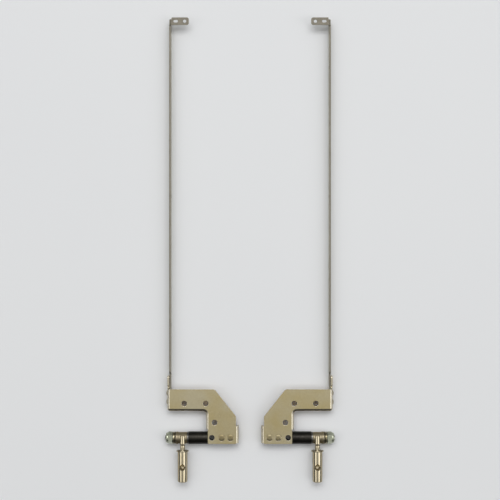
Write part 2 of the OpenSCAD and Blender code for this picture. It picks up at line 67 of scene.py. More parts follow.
def at(x, y, z):  # mm beside the shaft to metres in the frame
    return Vector((x * mm, (shaftY + y) * mm, z * mm))


def span(node):  # where a node of the right hinge starts and ends along the shaft, in mm
    low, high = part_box("right_" + node)
    return low[0] * 1000, high[0] * 1000


def settle(obj):  # place into the mesh, object to the origin
    activate(obj)
    bpy.ops.object.transform_apply(location=True, rotation=True, scale=True)


def cleanShell(obj, gap=mergeGap):
    activate(obj)
    bpy.ops.object.mode_set(mode="EDIT")
    bpy.ops.mesh.select_all(action="SELECT")
    bpy.ops.mesh.remove_doubles(threshold=gap * mm)
    bpy.ops.mesh.normals_make_consistent(inside=False)
    bpy.ops.object.mode_set(mode="OBJECT")


def turned(name, points, axis, centre, steps=96):
    # points are (along, radius) in mm, drawn vertex by vertex and spun round the axis
    along = {"x": Vector((1, 0, 0)), "y": Vector((0, 1, 0)), "z": Vector((0, 0, 1))}[axis]
    out = Vector((1, 0, 0)) if axis == "z" else Vector((0, 0, 1))
    places = [centre + along * (a * mm) + out * (r * mm) for a, r in points]
    bpy.ops.mesh.primitive_plane_add(size=mm, location=places[0])
    piece = bpy.context.object
    piece.name = piece.data.name = name
    bpy.ops.object.mode_set(mode="EDIT")
    bpy.ops.mesh.select_mode(type="VERT")
    bpy.ops.mesh.select_all(action="SELECT")
    bpy.ops.mesh.merge(type="CENTER")
    for before, after in zip(places, places[1:]):
        bpy.ops.mesh.extrude_region_move(TRANSFORM_OT_translate={"value": after - before})
    bpy.ops.mesh.select_all(action="SELECT")
    bpy.ops.mesh.spin(steps=steps, angle=2 * math.pi, center=centre, axis=along, use_auto_merge=True)
    bpy.ops.object.mode_set(mode="OBJECT")
    settle(piece)
    cleanShell(piece)
    return piece


def softenEdges(piece, width, segments=2, sharper=40):
    activate(piece)
    bpy.ops.object.mode_set(mode="EDIT")
    bpy.ops.mesh.select_mode(type="EDGE")
    bpy.ops.mesh.select_all(action="DESELECT")
    bpy.ops.mesh.edges_select_sharp(sharpness=math.radians(sharper))
    bpy.ops.mesh.bevel(offset=width * mm, segments=segments, affect="EDGES", clamp_overlap=True)
    bpy.ops.object.mode_set(mode="OBJECT")


def smoothTo(piece, degrees):
    activate(piece)
    bpy.ops.object.shade_smooth_by_angle(angle=math.radians(degrees))


def cut(piece, cutter, how="DIFFERENCE"):
    tool = piece.modifiers.new("cut", "BOOLEAN")
    tool.operation = how
    tool.solver = "EXACT"
    tool.object = cutter
    activate(piece)
    bpy.ops.object.modifier_apply(modifier=tool.name)
    bpy.data.objects.remove(cutter)
    cleanShell(piece, fineGap)


def sliceOff(piece, point, normal):  # keeps what lies behind the plane and closes it
    activate(piece)
    bpy.ops.object.mode_set(mode="EDIT")
    bpy.ops.mesh.select_all(action="SELECT")
    bpy.ops.mesh.bisect(plane_co=point, plane_no=normal, use_fill=True, clear_outer=True)
    bpy.ops.object.mode_set(mode="OBJECT")


def joined(piece, *others):
    activate(piece)
    for other in others:
        other.select_set(True)
    bpy.ops.object.join()
    return piece


def mirrored(piece, name):  # the left hinge's copy, with its own mesh
    activate(piece)
    bpy.ops.object.duplicate(linked=False)
    twin = bpy.context.object
    twin.name = twin.data.name = name
    twin.scale = (-1, 1, 1)
    settle(twin)
    bpy.ops.object.mode_set(mode="EDIT")
    bpy.ops.mesh.select_all(action="SELECT")
    bpy.ops.mesh.normals_make_consistent(inside=False)
    bpy.ops.object.mode_set(mode="OBJECT")
    return twin


def shade(r, g, b):  # a screen colour as the linear one that the sockets take
    linear = []
    for c in (r / 255, g / 255, b / 255):
        linear.append(c / 12.92 if c <= 0.04045 else ((c + 0.055) / 1.055) ** 2.4)
    return (*linear, 1)


def mixColours(tree, factor, a, b):
    mixer = tree.nodes.new("ShaderNodeMix")
    mixer.data_type = "RGBA"
    tree.links.new(factor, mixer.inputs["Factor"])
    for socket, value in (("A", a), ("B", b)):
        target = [s for s in mixer.inputs if s.name == socket and s.type == "RGBA"][0]
        if isinstance(value, tuple):
            target.default_value = value
        else:
            tree.links.new(value, target)
    return [s for s in mixer.outputs if s.type == "RGBA"][0]


def remap(tree, source, ends, low, high, easing="LINEAR"):
    ranger = tree.nodes.new("ShaderNodeMapRange")
    ranger.interpolation_type = easing
    values = (("From Min", ends[0]), ("From Max", ends[1]), ("To Min", low), ("To Max", high))
    for socket, value in values:
        ranger.inputs[socket].default_value = value
    tree.links.new(source, ranger.inputs["Value"])
    return ranger.outputs["Result"]


# how every finish takes its marks from their noises: a mark grows between the two ends, and a
# scale here is a multiple of the finish's own drift or mottle
marks = {
    "ends": (0.3, 0.7), "driftEnds": (0.35, 0.65),
    "stainScale": 3.5, "stainWarp": 0.6, "stainEnds": (0.56, 0.72),
    "lineWarp": 0.4, "lineEnds": (0, 0.006),
    "wornSamples": 4, "wornEnds": (0.86, 0.985), "patchScale": 0.4, "patchLow": 0.35,
    "roughScale": 0.7, "pitScale": 2
}


def metalFinish(name, look):
    finish = bpy.data.materials.new(name)
    finish.use_nodes = True
    tree = finish.node_tree
    nodes, links = tree.nodes, tree.links
    surface = nodes["Principled BSDF"]
    surface.inputs["Metallic"].default_value = look.get("metal", 1)
    place = nodes.new("ShaderNodeTexCoord").outputs["Object"]

    def noise(scale, detail, stretch=None, warp=0):
        where = place
        if stretch:
            turn = nodes.new("ShaderNodeMapping")
            turn.inputs["Scale"].default_value = stretch
            links.new(place, turn.inputs["Vector"])
            where = turn.outputs["Vector"]
        texture = nodes.new("ShaderNodeTexNoise")
        texture.inputs["Scale"].default_value = scale
        texture.inputs["Detail"].default_value = detail
        texture.inputs["Distortion"].default_value = warp
        links.new(where, texture.inputs["Vector"])
        return texture.outputs["Fac"]

    def spread(source, low, high, ends="ends"):
        return remap(tree, source, marks[ends], low, high)

    def maths(how, a, b):
        node = nodes.new("ShaderNodeMath")
        node.operation = how
        for socket, value in ((0, a), (1, b)):
            if isinstance(value, (int, float)):
                node.inputs[socket].default_value = value
            else:
                links.new(value, node.inputs[socket])
        return node.outputs[0]

    def painted(attribute):
        reader = nodes.new("ShaderNodeAttribute")
        reader.attribute_name = attribute
        return reader.outputs["Fac"]

    # slow drift between two tints of the plating, then fine mottle and stains over it
    drift = spread(noise(look["driftScale"], detail=2), 0, 1, "driftEnds")
    mottle = spread(noise(look["mottleScale"], detail=6), 0, look["mottle"])
    stainNoise = noise(look["driftScale"] * marks["stainScale"], detail=5, warp=marks["stainWarp"])
    stain = spread(stainNoise, 0, look["stain"], "stainEnds")
    tint = mixColours(tree, drift, look["tint"], look["tintTwo"])
    tint = mixColours(tree, mottle, tint, look["dull"])
    tint = mixColours(tree, stain, tint, look["dull"])

    # hairline scratches are thin contour lines of a stretched noise
    grain = noise(1, detail=3, stretch=look["grain"])
    contour = noise(1, detail=2, stretch=look["scratchStretch"], warp=marks["lineWarp"])
    nearLine = maths("ABSOLUTE", maths("SUBTRACT", contour, 0.5), 0)
    scratch = spread(nearLine, look["scratch"], 0, "lineEnds")
    tint = mixColours(tree, scratch, tint, look["edge"])

    # plating rubbed bright along the edges, in patches
    rounder = nodes.new("ShaderNodeBevel")
    rounder.samples = marks["wornSamples"]
    rounder.inputs["Radius"].default_value = look["edgeWidth"] * mm
    facing = nodes.new("ShaderNodeNewGeometry")
    together = nodes.new("ShaderNodeVectorMath")
    together.operation = "DOT_PRODUCT"
    links.new(rounder.outputs["Normal"], together.inputs[0])
    links.new(facing.outputs["Normal"], together.inputs[1])
    patchNoise = noise(look["mottleScale"] * marks["patchScale"], detail=3)
    patches = spread(patchNoise, marks["patchLow"], 1)
    edges = spread(together.outputs["Value"], look["edgeWear"], 0, "wornEnds")
    tint = mixColours(tree, maths("MULTIPLY", edges, patches), tint, look["edge"])

    # the underside takes a deeper brown as painted shade, bends a paler tint as a painted highlight and upper
    # cut edges a rubbed paler one,
    # and the last mark darkens faces: painted shade in drilled holes, grooves and under edges, bare steel on
    # the rail's cut edges, a darker post head
    for mark in ("deep", "rubbedAndHighlight"):
        if mark in look:
            tint = mixColours(tree, painted(mark), tint, look[mark])
    if "bareAndShade" in look:
        bareAndShadeShare = painted("bareAndShade")
        tint = mixColours(tree, bareAndShadeShare, tint, look["bareAndShade"])
    if "grazing" in look:
        surface.inputs["Specular Tint"].default_value = look["grazing"]
    links.new(tint, surface.inputs["Base Color"])

    middle, swing = look["rough"], look["roughSpread"]
    cloud = noise(look["mottleScale"] * marks["roughScale"], detail=5)
    rough = spread(cloud, middle - swing, middle + swing)
    rough = maths("ADD", rough, spread(grain, -swing / 2, swing / 2))
    if "bareAndShade" in look:
        rough = maths("ADD", rough, maths("MULTIPLY", bareAndShadeShare, look["bareAndShadeRough"]))
    links.new(rough, surface.inputs["Roughness"])

    pits = noise(look["mottleScale"] * marks["pitScale"], detail=6)
    height = maths("MULTIPLY", grain, look["grainDepth"])
    height = maths("ADD", height, maths("MULTIPLY", pits, look["pitDepth"]))
    height = maths("SUBTRACT", height, maths("MULTIPLY", scratch, look["grainDepth"]))
    bump = nodes.new("ShaderNodeBump")
    bump.inputs["Strength"].default_value = 1
    bump.inputs["Distance"].default_value = mm
    links.new(height, bump.inputs["Height"])
    links.new(bump.outputs["Normal"], surface.inputs["Normal"])
    return finish


goldNickel = metalFinish("gold_nickel_plating", {
    "tint": shade(201, 192, 162), "tintTwo": shade(197, 183, 139),
    "dull": shade(168, 152, 110), "edge": shade(224, 217, 196),
    # painted shade and highlight: bareAndShade darkens holes, lower edges and the notch rim, deep browns the
    # underside, rubbedAndHighlight pales the bends
    "bareAndShade": shade(104, 84, 46), "bareAndShadeRough": 0.15,
    "rubbedAndHighlight": shade(203, 197, 183), "deep": shade(182, 146, 84),
    "driftScale": 60, "mottleScale": 900, "mottle": 0.12, "stain": 0.12, "rough": 0.23, "roughSpread": 0.03,
    "grain": (260, 2600, 2600), "grainDepth": 0.001, "pitDepth": 0.0015,
    "scratchStretch": (160, 420, 160), "scratch": 0.20, "edgeWidth": 0.12, "edgeWear": 0.5
})
railSteel = metalFinish("rail_grey_plating", {
    "tint": shade(190, 187, 172), "tintTwo": shade(182, 178, 160),
    "dull": shade(128, 122, 104), "edge": shade(210, 206, 192),
    "bareAndShade": shade(146, 141, 129), "bareAndShadeRough": 0.35,
    "driftScale": 60, "mottleScale": 1000, "mottle": 0.25, "stain": 0.25, "rough": 0.34, "roughSpread": 0.05,
    "grain": (2400, 240, 2400), "grainDepth": 0.003, "pitDepth": 0.004,
    "scratchStretch": (420, 120, 300), "scratch": 0.20, "edgeWidth": 0.10, "edgeWear": 0.3
})
rivetSteel = metalFinish("rivet_plating", {
    "tint": shade(176, 168, 148), "tintTwo": shade(164, 154, 130),
    "dull": shade(110, 98, 76), "edge": shade(220, 214, 198),
    "driftScale": 300, "mottleScale": 1600, "mottle": 0.35, "stain": 0.35, "rough": 0.32, "roughSpread": 0.06,
    "grain": (2000, 900, 900), "grainDepth": 0.003, "pitDepth": 0.005,
    "scratchStretch": (600, 600, 300), "scratch": 0.25, "edgeWidth": 0.12, "edgeWear": 0.3
})
flushRivetSteel = metalFinish("flush_rivet_plating", {
    "tint": shade(170, 160, 129), "tintTwo": shade(155, 142, 107),
    "dull": shade(120, 106, 72), "edge": shade(214, 206, 184),
    "driftScale": 260, "mottleScale": 1400, "mottle": 0.35, "stain": 0.30, "rough": 0.30, "roughSpread": 0.05,
    "grain": (900, 900, 900), "grainDepth": 0.003, "pitDepth": 0.005,
    "scratchStretch": (500, 500, 300), "scratch": 0.25, "edgeWidth": 0.10, "edgeWear": 0.2
})
blackSteel = metalFinish("shaft_black_oxide", {
    "tint": shade(60, 58, 53), "tintTwo": shade(50, 48, 45),
    "dull": shade(24, 23, 22), "edge": shade(110, 105, 98),
    "driftScale": 160, "mottleScale": 1500, "mottle": 0.5, "stain": 0.4, "rough": 0.40, "roughSpread": 0.08,
    "grain": (3000, 500, 500), "grainDepth": 0.004, "pitDepth": 0.006,
    "scratchStretch": (500, 200, 200), "scratch": 0.15, "edgeWidth": 0.12, "edgeWear": 0.25
})
postNickel = metalFinish("post_bright_nickel", {
    "tint": shade(190, 181, 158), "tintTwo": shade(184, 173, 147),
    "dull": shade(150, 136, 104), "edge": shade(212, 204, 186),
    "bareAndShade": shade(98, 88, 64), "bareAndShadeRough": 0.6, "grazing": (0.60, 0.55, 0.45, 1),
    "driftScale": 140, "mottleScale": 1200, "mottle": 0.25, "stain": 0.25, "rough": 0.14, "roughSpread": 0.03,
    "grain": (900, 3000, 900), "grainDepth": 0.0003, "pitDepth": 0.0006,
    "scratchStretch": (300, 700, 300), "scratch": 0.2, "edgeWidth": 0.10, "edgeWear": 0.3
})
greenZinc = metalFinish("nut_greenish_zinc", {
    "tint": shade(192, 197, 180), "tintTwo": shade(182, 187, 166),
    "dull": shade(146, 148, 126), "edge": shade(222, 226, 216),
    "driftScale": 260, "mottleScale": 1400, "mottle": 0.25, "stain": 0.2, "rough": 0.32, "roughSpread": 0.05,
    "grain": (900, 1600, 1600), "grainDepth": 0.003, "pitDepth": 0.004,
    "scratchStretch": (400, 400, 400), "scratch": 0.2, "edgeWidth": 0.14, "edgeWear": 0.5
})
nylon = metalFinish("insert_nylon", {
    "metal": 0, "tint": shade(226, 228, 216), "tintTwo": shade(214, 216, 202),
    "dull": shade(176, 174, 154), "edge": shade(240, 240, 232),
    "driftScale": 300, "mottleScale": 1400, "mottle": 0.3, "stain": 0.3, "rough": 0.45, "roughSpread": 0.05,
    "grain": (900, 1600, 1600), "grainDepth": 0.002, "pitDepth": 0.003,
    "scratchStretch": (400, 400, 400), "scratch": 0.05, "edgeWidth": 0.1, "edgeWear": 0.3
})

# the turned parts of the stack share their tool marks and differ in their tints
turnedLook = {
    "driftScale": 300, "mottleScale": 1600, "mottle": 0.4, "stain": 0.3, "rough": 0.34, "roughSpread": 0.06,
    "grain": (2600, 900, 900), "grainDepth": 0.003, "pitDepth": 0.004,
    "scratchStretch": (700, 300, 300), "scratch": 0.2, "edgeWidth": 0.08, "edgeWear": 0.3
}
bareSteel = metalFinish("thread_bare_steel", turnedLook | {
    "tint": shade(186, 186, 178), "tintTwo": shade(170, 170, 160),
    "dull": shade(96, 92, 82), "edge": shade(232, 232, 226), "mottle": 0.35, "rough": 0.28, "edgeWear": 0.4
})
greyWasher = metalFinish("washer_ground_grey", turnedLook | {
    "tint": shade(120, 118, 114), "tintTwo": shade(108, 106, 102),
    "dull": shade(108, 106, 98), "edge": shade(196, 196, 192), "mottle": 0.3, "stain": 0.2
})
darkWasher = metalFinish("washer_dark_oiled", turnedLook | {
    "tint": shade(84, 78, 70), "tintTwo": shade(70, 64, 56),
    "dull": shade(40, 34, 26), "edge": shade(140, 132, 118)
})
oliveSprings = metalFinish("springs_olive_passivated", turnedLook | {
    "tint": shade(214, 206, 172), "tintTwo": shade(202, 192, 152),
    "dull": shade(140, 126, 90), "edge": shade(232, 226, 204), "rough": 0.30, "edgeWidth": 0.06
})
keyedSteel = metalFinish("washer_greenish_grey", turnedLook | {
    "tint": shade(140, 140, 126), "tintTwo": shade(126, 124, 108),
    "dull": shade(76, 70, 56), "edge": shade(190, 190, 176)
})
print("finishes made")


def evenNormals(piece):  # flat faces stay flat beside their eased edges
    evener = piece.modifiers.new("even", "WEIGHTED_NORMAL")
    evener.keep_sharp = True
    evener.weight = 90
    activate(piece)
    bpy.ops.object.modifier_apply(modifier=evener.name)


def dress(piece, node, finish, body="lid_brackets", label=None):
    # finishes the right-hand piece, makes the left one and lets both ride and stand for their nodes
    label = label or node + "_shape"
    piece.name = piece.data.name = "right_" + label
    piece.data.materials.clear()
    piece.data.materials.append(finish)
    twin = mirrored(piece, "left_" + label)
    for side, made in (("right", piece), ("left", twin)):
        evenNormals(made)
        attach(made, side + "_post" if body == "post" else body)
        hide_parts(side + "_" + node)


def paint(piece, attribute, share):
    # share says how much of the finish a face takes, from its normal and its middle in mm
    mark = piece.data.color_attributes.new(attribute, "FLOAT_COLOR", "CORNER")
    for face in piece.data.polygons:
        much = float(share(face.normal, face.center / mm))
        for corner in face.loop_indices:
            mark.data[corner].color = (much, much, much, 1)


# the two folded sheets keep the CAD's shape, with their sheared edges eased
easedEdge = {"segments": 2, "sharp": 35, "flat": 0.4}
level = 0.9  # a face lies level where its normal's z is beyond this
upright = 0.5  # and stands upright where it is nearer to 0 than this


def sheetFrom(node, look):
    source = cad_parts["right_" + node]
    piece = source.copy()
    piece.data = source.data.copy()
    piece.parent = None
    for key in list(piece.keys()):
        del piece[key]
    bpy.context.scene.collection.objects.link(piece)
    activate(piece)
    bpy.ops.object.mode_set(mode="EDIT")
    bpy.ops.mesh.select_all(action="SELECT")
    bpy.ops.mesh.remove_doubles(threshold=fineGap * mm)
    bpy.ops.mesh.dissolve_limited(angle_limit=math.radians(easedEdge["flat"]), delimit={"NORMAL"})
    bpy.ops.object.mode_set(mode="OBJECT")
    easing = piece.modifiers.new("eased", "BEVEL")
    easing.width = look["edge"] * mm
    easing.segments = easedEdge["segments"]
    easing.limit_method = "ANGLE"
    easing.angle_limit = math.radians(easedEdge["sharp"])
    easing.use_clamp_overlap = False
    easing.harden_normals = False
    bpy.ops.object.modifier_apply(modifier=easing.name)
    smoothTo(piece, look["smooth"])
    return piece


plateLook = {
    "edge": 0.06, "smooth": 34, "hole": 1.6, "holes": ((36.2, 18.9), (24.4, 18.9), (19.5, 8.4), (21.0, 0)),
    "skin": 0.1, "rimLine": 17, "rimFacing": 0.5, "rimLean": 0.75, "rimShade": 0.8,
    "bend": (0.5, 0.985), "bendHighlight": 0.8, "edgeRubbed": 0.6
}
plateHoles = [at(x, y + rowRise, 0) / mm for x, y in plateLook["holes"]]


def plateShade(n, c):  # painted shade: lower edges, drilled walls and the rim over the notch are painted dark
    if n.z < -level and c.z < plateUnder - plateLook["skin"]:
        return 1
    if abs(n.z) < upright and any((c - hole).xy.length < plateLook["hole"] for hole in plateHoles):
        return 1
    facesNotch = n.y < -plateLook["rimFacing"] and n.z < plateLook["rimLean"]
    return plateLook["rimShade"] if facesNotch and c.y < shaftY + plateLook["rimLine"] else 0


def plateHighlightAndRubbed(n, c):  # bends are painted paler as a painted highlight, and the tail's upper edge is rubbed paler, less so
    if plateLook["bend"][0] < n.z < plateLook["bend"][1]:
        return plateLook["bendHighlight"]
    return plateLook["edgeRubbed"] if n.z > level and c.z < plateTop - plateLook["skin"] else 0


plate = sheetFrom("lid_plate", plateLook)
# painted shade: drilled walls, lower edges and the rim over the notch are painted dark
paint(plate, "bareAndShade", plateShade)
# painted highlight: the bends are painted paler; the tail's upper cut edge is rubbed paler
paint(plate, "rubbedAndHighlight", plateHighlightAndRubbed)
# painted shade: the underside is painted a deeper brown, which browns the shade under the plate and in its
# holes
paint(plate, "deep", lambda n, c: n.z < -level)
dress(plate, "lid_plate", goldNickel)

railLook = {"edge": 0.06, "smooth": 34}
rail = sheetFrom("panel_rail", railLook)
paint(rail, "bareAndShade", lambda n, c: abs(n.z) > upright)  # its tab and its long cut edges
dress(rail, "panel_rail", railSteel)
print("sheets made")

# dome heads of the rail rivets; the dimple is what the rivet set leaves, in shares of height and head
railRivet = {
    "ys": (19.4 + rowRise, 24.3 + rowRise), "z": 2.4, "inner": 43.6, "shank": 0.9, "head": 1.6, "height": 0.8,
    "dome": (10, 25, 40, 55, 70), "dimple": ((0.99, 0.26), (0.93, 0.2), (0.93, 0)),
    "soften": 0.05, "steps": 48, "smooth": 40
}


def domeRivet(y):
    head, height = railRivet["head"], railRivet["height"]
    foot = [(0, railRivet["shank"]), (0, head)]
    angles = [math.radians(d) for d in railRivet["dome"]]
    dome = [(height * math.sin(a), head * math.cos(a)) for a in angles]
    dimple = [(height * a, head * r) for a, r in railRivet["dimple"]]
    right = [(outerX + a, r) for a, r in foot + dome + dimple]
    left = [(railRivet["inner"] - a, r) for a, r in reversed(foot + dome + [(height, 0)])]
    piece = turned("rivet", left + right, "x", at(0, y, railRivet["z"]), railRivet["steps"])
    softenEdges(piece, railRivet["soften"])
    return piece


rivets = joined(*[domeRivet(y) for y in railRivet["ys"]])
smoothTo(rivets, railRivet["smooth"])
dress(rivets, "rail_rivets", rivetSteel)

# rivets through plate and tongue, spun nearly flush: a sunk ring, a low crown and a dimple
shaftRivet = {
    "shank": 1.2, "head": 1.8, "sink": 0.7, "tongueLow": 1.4, "tail": 0.7, "steps": 64, "smooth": 40
}
rivetLow, rivetHigh = span("shaft_rivets")
rivetXs = (rivetLow + shaftRivet["head"], rivetHigh - shaftRivet["head"])


def flushRivet(x):
    top, low, head, shank = plateTop, shaftRivet["tongueLow"], shaftRivet["head"], shaftRivet["shank"]
    end = low - shaftRivet["tail"]
    tail = [
        (end, 0), (end, head * 0.5), (end + 0.08, head * 0.62), (end, head * 0.72),
        (end + 0.05, head - 0.12), (end + 0.25, head), (low, head), (low, shank)
    ]
    face = [
        (top - shaftRivet["sink"], shank), (top - 0.16, head - 0.02), (top - 0.10, head - 0.08),
        (top - 0.03, head - 0.17), (top + 0.02, head * 0.74), (top + 0.055, head * 0.55),
        (top + 0.075, head * 0.36), (top + 0.08, head * 0.22), (top + 0.06, head * 0.14), (top + 0.055, 0)
    ]
    return turned("rivet", tail + face, "z", at(x, rowRise, 0), shaftRivet["steps"])


flush = joined(*[flushRivet(x) for x in rivetXs])
smoothTo(flush, shaftRivet["smooth"])
dress(flush, "shaft_rivets", flushRivetSteel)
print("rivets made")

# the shaft: flattened tongue, barrel and journal turned in one, and a rolled thread with two flats
# rounding is (in from the end, in from the radius), zigzag is (share of the pitch, way up or down)
shaft = {
    "tongueX": 9.1, "tongueT": 4.2, "soften": 0.12, "screwX": 21.0, "screwR": 1.4, "rivetPlay": 0.02,
    "drillDepth": 8, "drillSteps": 48, "barrelX": 23.22, "shoulderX": 33.92, "barrel": 3.5, "overlap": 0.3,
    "rounding": ((0, 0.28), (0.05, 0.14), (0.16, 0.04), (0.3, 0)), "journalEnd": 41.12, "journal": 2.0,
    "thread": 1.75, "root": 1.45, "pitch": 0.5, "zigzag": ((0.1, 0), (0.35, 1), (0.1, 0), (0.45, -1)),
    "turns": 13, "runIn": 0.6, "hidden": 0.05, "tip": 0.4, "flats": 2.7, "threadSteps": 48, "smooth": 30
}
onAxis = at(0, 0, shaftZ)


def hingeShaft():
    x0, x1, barrelR, journal = shaft["barrelX"], shaft["shoulderX"], shaft["barrel"], shaft["journal"]
    tongueEnd = x0 + shaft["overlap"]
    tongue = turned("tongue", [
        (shaft["tongueX"], 0), (shaft["tongueX"], barrelR), (tongueEnd, barrelR), (tongueEnd, 0)
    ], "x", onAxis)
    sliceOff(tongue, at(0, 0, plateUnder), (0, 0, 1))
    sliceOff(tongue, at(0, 0, plateUnder - shaft["tongueT"]), (0, 0, -1))
    softenEdges(tongue, shaft["soften"])
    holes = [(x, shaftRivet["shank"] + shaft["rivetPlay"]) for x in rivetXs]
    for x, r in holes + [(shaft["screwX"], shaft["screwR"])]:
        drill = [(0, 0), (0, r), (shaft["drillDepth"], r), (shaft["drillDepth"], 0)]
        cut(tongue, turned("drill", drill, "z", at(x, rowRise, 0), shaft["drillSteps"]))
    near = [(x0 + a, barrelR - b) for a, b in shaft["rounding"]]
    far = [(x1 - a, barrelR - b) for a, b in reversed(shaft["rounding"])]
    journalLine = [(x1, journal), (shaft["journalEnd"], journal), (shaft["journalEnd"], 0)]
    return joined(tongue, turned("barrel", [(x0, 0)] + near + far + journalLine, "x", onAxis))


def threadEnd():
    # one turn's zigzag is drawn edge by edge and wound up by a Screw modifier
    start, end = shaft["journalEnd"] - shaft["runIn"], span("hinge_shaft")[1]
    bpy.ops.mesh.primitive_plane_add(size=mm, location=(0, 0, shaft["root"] * mm))
    thread = bpy.context.object
    bpy.ops.object.mode_set(mode="EDIT")
    bpy.ops.mesh.select_mode(type="VERT")
    bpy.ops.mesh.select_all(action="SELECT")
    bpy.ops.mesh.merge(type="CENTER")
    rise = (shaft["thread"] - shaft["root"]) * mm
    pitch = shaft["pitch"] * mm
    for along, up in shaft["zigzag"]:
        bpy.ops.mesh.extrude_region_move(TRANSFORM_OT_translate={"value": (along * pitch, 0, up * rise)})
    bpy.ops.object.mode_set(mode="OBJECT")
    settle(thread)
    winding = thread.modifiers.new("winding", "SCREW")
    winding.axis = "X"
    winding.angle = 2 * math.pi
    winding.screw_offset = pitch
    winding.iterations = shaft["turns"]
    winding.steps = winding.render_steps = shaft["threadSteps"]
    winding.use_merge_vertices = True
    winding.merge_threshold = 2 * mergeGap * mm
    activate(thread)
    bpy.ops.object.modifier_apply(modifier=winding.name)
    thread.location = at(start, 0, shaftZ)
    settle(thread)
    cleanShell(thread)
    sliceOff(thread, at(shaft["journalEnd"] - shaft["hidden"], 0, 0), (-1, 0, 0))
    sliceOff(thread, at(end, 0, 0), (1, 0, 0))
    cleanShell(thread)
    wide, crest, tip = shaft["journal"], shaft["thread"], shaft["tip"]
    cut(thread, turned("envelope", [
        (start, 0), (start, wide), (end - tip, wide), (end - tip, crest), (end, crest - tip), (end, 0)
    ], "x", onAxis), "INTERSECT")
    for side in (1, -1):
        sliceOff(thread, at(0, 0, shaftZ + side * shaft["flats"] / 2), (0, 0, side))
    return thread


shaftPiece = hingeShaft()
smoothTo(shaftPiece, shaft["smooth"])
dress(shaftPiece, "hinge_shaft", blackSteel)
threadPiece = threadEnd()
smoothTo(threadPiece, shaft["smooth"])
dress(threadPiece, "hinge_shaft", bareSteel, label="thread_end_shape")
print("shaft made")

# washers of the stack: one rides the journal, two ride the thread
washers = {"outer": 3.3, "journalBore": 2.02, "threadBore": 1.77, "ease": 0.07, "steps": 80, "smooth": 40}


def ring(name, ends, outer, bore, ease):
    x0, x1 = ends
    bulge, half = ease * 0.3, ease / 2  # the outer edges are rounded, the bore's only broken
    return turned(name, [
        (x0 + ease, outer), (x0 + bulge, outer - bulge), (x0, outer - ease),
        (x0, bore + half), (x0 + half, bore), (x1 - half, bore), (x1, bore + half),
        (x1, outer - ease), (x1 - bulge, outer - bulge), (x1 - ease, outer), (x0 + ease, outer)
    ], "x", onAxis, washers["steps"])


for node, finish, slot, bore in (
    ("inner_washer", greyWasher, "grey_washer", "journalBore"),
    ("outer_washer", darkWasher, "dark_washer", "threadBore"),
    ("keyed_washer", keyedSteel, "keyed_washer_steel", "threadBore"),
):
    washer = ring(node, span(node), washers["outer"], washers[bore], washers["ease"])
    smoothTo(washer, washers["smooth"])
    dress(washer, node, finish)

# two dished springs whose wide rims meet
spring = {"thick": 0.25, "bore": 2.02, "outer": 3.3, "ease": 0.02, "steps": 80, "smooth": 40}


def springPair():
    x0, x1 = span("disc_springs")
    bore, outer, thick, ease = spring["bore"], spring["outer"], spring["thick"], spring["ease"]
    rise = (x1 - x0) / 2 - thick
    section = [
        (ease, bore), (rise + ease, outer - 0.08), (rise + 0.06, outer), (rise + thick - ease, outer),
        (rise + thick, outer - 0.06), (thick, bore), (ease, bore)
    ]
    cones = []
    for start, way in ((x0, 1), (x1, -1)):
        cone = [(start + way * a, r) for a, r in section]
        cones.append(turned("cone", cone, "x", onAxis, spring["steps"]))
    return joined(*cones)


springs = springPair()
smoothTo(springs, spring["smooth"])
dress(springs, "disc_springs", oliveSprings)

# lock nut: hexagon with turned bevels, a rolled crown and the nylon ring under its lip
nut = {
    "flat": 3.0, "hex": 2.5, "soften": 0.08, "bevelTilt": 30, "bevelIn": 0.05, "bevelOut": 0.55,
    "crown": 1.1, "crownR": 2.875, "endR": 2.3, "straight": 0.25, "sunk": 0.2, "bore": 1.77, "mouth": 0.25,
    "insertR": 2.2, "insert": 0.8, "insertPlay": 0.02, "insertEase": 0.05, "lip": 0.2, "smooth": 28
}


def lockNut():
    x0, x1 = span("lock_nut")
    crownX = x0 + nut["hex"]
    corner = nut["flat"] / math.cos(math.radians(30))
    bpy.ops.mesh.primitive_cylinder_add(
        vertices=6, radius=corner * mm, depth=nut["hex"] * mm, location=at((x0 + crownX) / 2, 0, shaftZ),
        rotation=(0, math.radians(90), 0)
    )
    body = bpy.context.object
    settle(body)
    softenEdges(body, nut["soften"])
    low, high = nut["flat"] - nut["bevelIn"], nut["flat"] + nut["bevelOut"]
    lift = (nut["bevelIn"] + nut["bevelOut"]) * math.tan(math.radians(nut["bevelTilt"]))
    cut(body, turned("bevels", [
        (x0, 0), (x0, low), (x0 + lift, high), (crownX - lift, high), (crownX, low), (crownX, 0)
    ], "x", onAxis), "INTERSECT")
    crown = [(crownX - nut["sunk"], 0), (crownX - nut["sunk"], nut["crownR"])]
    for a in [math.radians(d) for d in range(0, 91, 10)]:
        rise = nut["crown"] * (nut["straight"] + (1 - nut["straight"]) * math.sin(a))
        crown.append((crownX + rise, nut["endR"] + (nut["crownR"] - nut["endR"]) * math.cos(a)))
    cut(body, turned("crown", crown + [(x1, 0)], "x", onAxis), "UNION")
    bore, mouth, insertX, lipX = nut["bore"], nut["mouth"], x1 - nut["insert"], x1 - nut["lip"]
    cut(body, turned("bore", [
        (x0 - 1, 0), (x0 - 1, bore + mouth), (x0, bore + mouth), (x0 + mouth, bore), (insertX, bore),
        (insertX, nut["insertR"]), (lipX, nut["insertR"]), (lipX + 0.02, bore + 0.22),
        (x1 - 0.05, bore + 0.18), (x1 + 1, bore + 0.3), (x1 + 1, 0)
    ], "x", onAxis))
    return body


nutPiece = lockNut()
smoothTo(nutPiece, nut["smooth"])
dress(nutPiece, "lock_nut", greenZinc)
insertR = nut["insertR"] - nut["insertPlay"]
insert = ring("insert", span("nut_insert"), insertR, nut["bore"], nut["insertEase"])
smoothTo(insert, washers["smooth"])
dress(insert, "nut_insert", nylon)
print("stack made")

